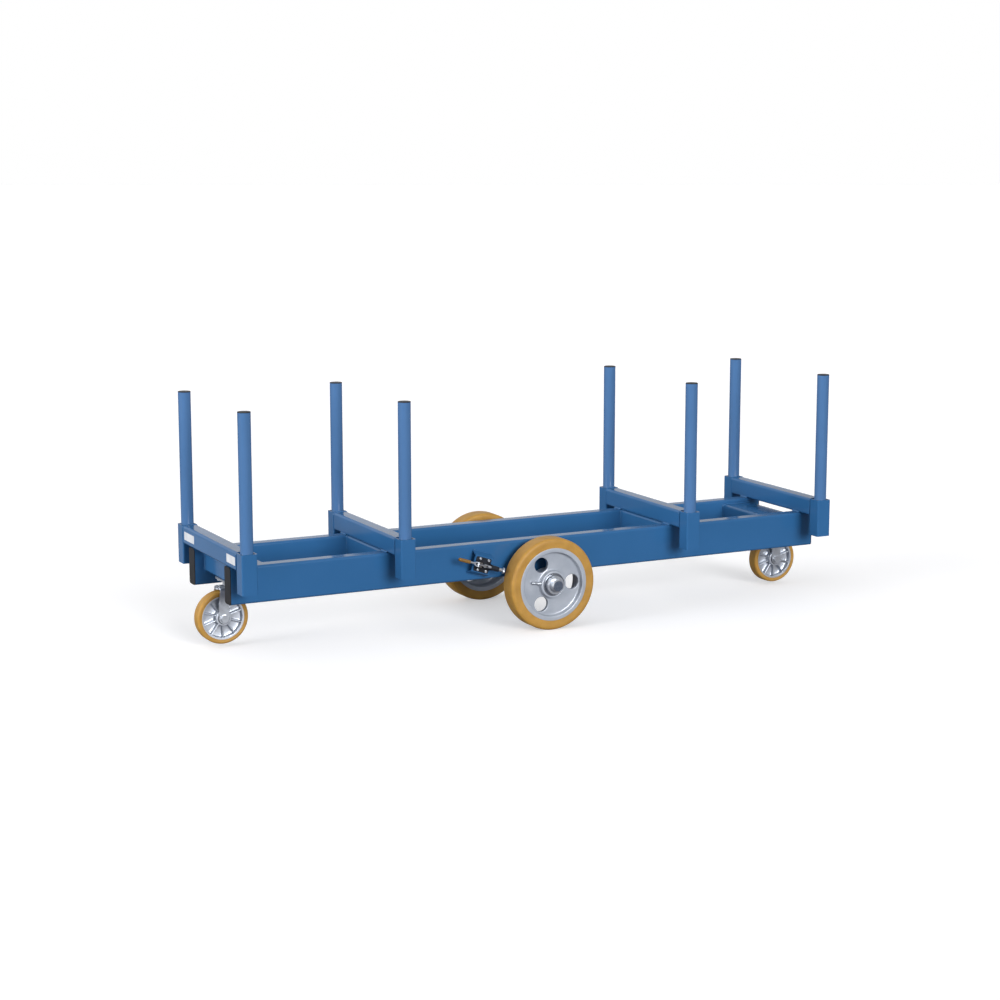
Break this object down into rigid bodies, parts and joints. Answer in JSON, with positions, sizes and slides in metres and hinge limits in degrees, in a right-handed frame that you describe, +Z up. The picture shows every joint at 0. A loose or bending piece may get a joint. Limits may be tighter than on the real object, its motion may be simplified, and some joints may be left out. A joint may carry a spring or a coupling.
{
  "type": "long material stake cart",
  "caption": "Long cart for bars and pipes: side beams on large centre wheels with a swivel caster at each end, crossbars with pull-out stakes, and push-pull wheel brakes.",
  "frame": {"origin": "on the floor under the middle of the cart, at the foot of the centre wheels", "axes": "+X along the cart, +Y across it away from the front side, +Z up"},
  "size_m": [2.664, 0.754, 0.927],
  "materials": {
    "blue_powder_coat": "satin powder coat",
    "black_plastic": "moulded",
    "white_plate": "smooth",
    "axle_steel": "turned",
    "zinc_plate": "bright zinc plated",
    "black_clamp": "black coated",
    "grey_rim_paint": "satin paint on cast iron",
    "amber_tread": "cast polyurethane",
    "bearing_steel": "ground",
    "cast_aluminium": "die cast",
    "amber_grip": "moulded"
  },
  "bodies": {
    "chassis": {"front_beam": "blue_powder_coat", "rear_beam": "blue_powder_coat", "beam_end_caps": "black_plastic", "end_cross_members": "blue_powder_coat", "mid_cross_members": "blue_powder_coat", "end_crossbars": "blue_powder_coat", "mid_crossbars": "blue_powder_coat", "front_sockets": "blue_powder_coat", "rear_sockets": "blue_powder_coat", "label_plates": "white_plate", "axle": "axle_steel", "axle_saddles": "blue_powder_coat", "axle_spacers": "zinc_plate", "axle_collars": "zinc_plate", "caster_plates": "zinc_plate", "caster_bolts": "zinc_plate", "brake_brackets": "blue_powder_coat", "brake_bases": "black_clamp", "brake_screws": "zinc_plate"},
    "front_stake_1": {"front_stake_1": "blue_powder_coat", "front_stake_cap_1": "black_plastic"},
    "front_stake_2": {"front_stake_2": "blue_powder_coat", "front_stake_cap_2": "black_plastic"},
    "front_stake_3": {"front_stake_3": "blue_powder_coat", "front_stake_cap_3": "black_plastic"},
    "front_stake_4": {"front_stake_4": "blue_powder_coat", "front_stake_cap_4": "black_plastic"},
    "rear_stake_1": {"rear_stake_1": "blue_powder_coat", "rear_stake_cap_1": "black_plastic"},
    "rear_stake_2": {"rear_stake_2": "blue_powder_coat", "rear_stake_cap_2": "black_plastic"},
    "rear_stake_3": {"rear_stake_3": "blue_powder_coat", "rear_stake_cap_3": "black_plastic"},
    "rear_stake_4": {"rear_stake_4": "blue_powder_coat", "rear_stake_cap_4": "black_plastic"},
    "front_wheel": {"front_wheel_rim": "grey_rim_paint", "front_wheel_tyre": "amber_tread", "front_wheel_bearings": "bearing_steel"},
    "rear_wheel": {"rear_wheel_rim": "grey_rim_paint", "rear_wheel_tyre": "amber_tread", "rear_wheel_bearings": "bearing_steel"},
    "left_caster": {"left_caster_fork": "zinc_plate", "left_caster_bolt": "zinc_plate"},
    "left_caster_wheel": {"left_caster_core": "cast_aluminium", "left_caster_tyre": "amber_tread", "left_caster_bearings": "bearing_steel"},
    "right_caster": {"right_caster_fork": "zinc_plate", "right_caster_bolt": "zinc_plate"},
    "right_caster_wheel": {"right_caster_core": "cast_aluminium", "right_caster_tyre": "amber_tread", "right_caster_bearings": "bearing_steel"},
    "front_brake_lever": {"front_brake_lever": "zinc_plate", "front_brake_grip": "amber_grip"},
    "front_brake_link": {"front_brake_link": "zinc_plate"},
    "front_brake_plunger": {"front_brake_plunger": "zinc_plate"},
    "rear_brake_lever": {"rear_brake_lever": "zinc_plate", "rear_brake_grip": "amber_grip"},
    "rear_brake_link": {"rear_brake_link": "zinc_plate"},
    "rear_brake_plunger": {"rear_brake_plunger": "zinc_plate"}
  },
  "joints": [
    {"name": "front_stake_1_lift", "type": "slide", "parent": "chassis", "child": "front_stake_1", "axis": [0, 0, 1], "range_m": [0, 0.14]},
    {"name": "front_stake_2_lift", "type": "slide", "parent": "chassis", "child": "front_stake_2", "axis": [0, 0, 1], "range_m": [0, 0.14]},
    {"name": "front_stake_3_lift", "type": "slide", "parent": "chassis", "child": "front_stake_3", "axis": [0, 0, 1], "range_m": [0, 0.14]},
    {"name": "front_stake_4_lift", "type": "slide", "parent": "chassis", "child": "front_stake_4", "axis": [0, 0, 1], "range_m": [0, 0.14]},
    {"name": "rear_stake_1_lift", "type": "slide", "parent": "chassis", "child": "rear_stake_1", "axis": [0, 0, 1], "range_m": [0, 0.14]},
    {"name": "rear_stake_2_lift", "type": "slide", "parent": "chassis", "child": "rear_stake_2", "axis": [0, 0, 1], "range_m": [0, 0.14]},
    {"name": "rear_stake_3_lift", "type": "slide", "parent": "chassis", "child": "rear_stake_3", "axis": [0, 0, 1], "range_m": [0, 0.14]},
    {"name": "rear_stake_4_lift", "type": "slide", "parent": "chassis", "child": "rear_stake_4", "axis": [0, 0, 1], "range_m": [0, 0.14]},
    {"name": "front_wheel_spin", "type": "hinge", "parent": "chassis", "child": "front_wheel", "pos_m": [0, -0.3, 0.18], "axis": [0, 1, 0], "continuous": true},
    {"name": "rear_wheel_spin", "type": "hinge", "parent": "chassis", "child": "rear_wheel", "pos_m": [0, 0.3, 0.18], "axis": [0, 1, 0], "continuous": true},
    {"name": "left_caster_swivel", "type": "hinge", "parent": "chassis", "child": "left_caster", "pos_m": [-1.175, 0, 0.228], "axis": [0, 0, 1], "continuous": true},
    {"name": "left_caster_wheel_spin", "type": "hinge", "parent": "left_caster", "child": "left_caster_wheel", "pos_m": [-1.232, 0, 0.112], "axis": [0, 1, 0], "continuous": true},
    {"name": "right_caster_swivel", "type": "hinge", "parent": "chassis", "child": "right_caster", "pos_m": [1.175, 0, 0.228], "axis": [0, 0, 1], "continuous": true},
    {"name": "right_caster_wheel_spin", "type": "hinge", "parent": "right_caster", "child": "right_caster_wheel", "pos_m": [1.232, 0, 0.112], "axis": [0, 1, 0], "continuous": true},
    {"name": "front_brake_lever_swing", "type": "hinge", "parent": "chassis", "child": "front_brake_lever", "pos_m": [-0.29191, -0.285, 0.27598], "axis": [0.3123, 0, 0.95], "range_deg": [0, 140]},
    {"name": "front_brake_link_turn", "type": "hinge", "parent": "front_brake_lever", "child": "front_brake_link", "pos_m": [-0.29886, -0.29182, 0.27826], "axis": [0.3123, 0, 0.95], "range_deg": [-152.47, 0]},
    {"name": "front_brake_plunger_slide", "type": "slide", "parent": "chassis", "child": "front_brake_plunger", "axis": [0.95, 0, -0.3123], "range_m": [0, 0.018]},
    {"name": "rear_brake_lever_swing", "type": "hinge", "parent": "chassis", "child": "rear_brake_lever", "pos_m": [-0.29191, 0.285, 0.27598], "axis": [-0.3123, 0, -0.95], "range_deg": [0, 140]},
    {"name": "rear_brake_link_turn", "type": "hinge", "parent": "rear_brake_lever", "child": "rear_brake_link", "pos_m": [-0.29886, 0.29182, 0.27826], "axis": [-0.3123, 0, -0.95], "range_deg": [-152.47, 0]},
    {"name": "rear_brake_plunger_slide", "type": "slide", "parent": "chassis", "child": "rear_brake_plunger", "axis": [0.95, 0, -0.3123], "range_m": [0, 0.018]}
  ],
  "couplings": [
    {"joint": "front_brake_link_turn", "follows": "front_brake_lever_swing", "ratio": -1.089},
    {"joint": "front_brake_plunger_slide", "follows": "front_brake_lever_swing", "m_per_rad": 0.0073612},
    {"joint": "rear_brake_link_turn", "follows": "rear_brake_lever_swing", "ratio": -1.089},
    {"joint": "rear_brake_plunger_slide", "follows": "rear_brake_lever_swing", "m_per_rad": 0.0073612}
  ]
}
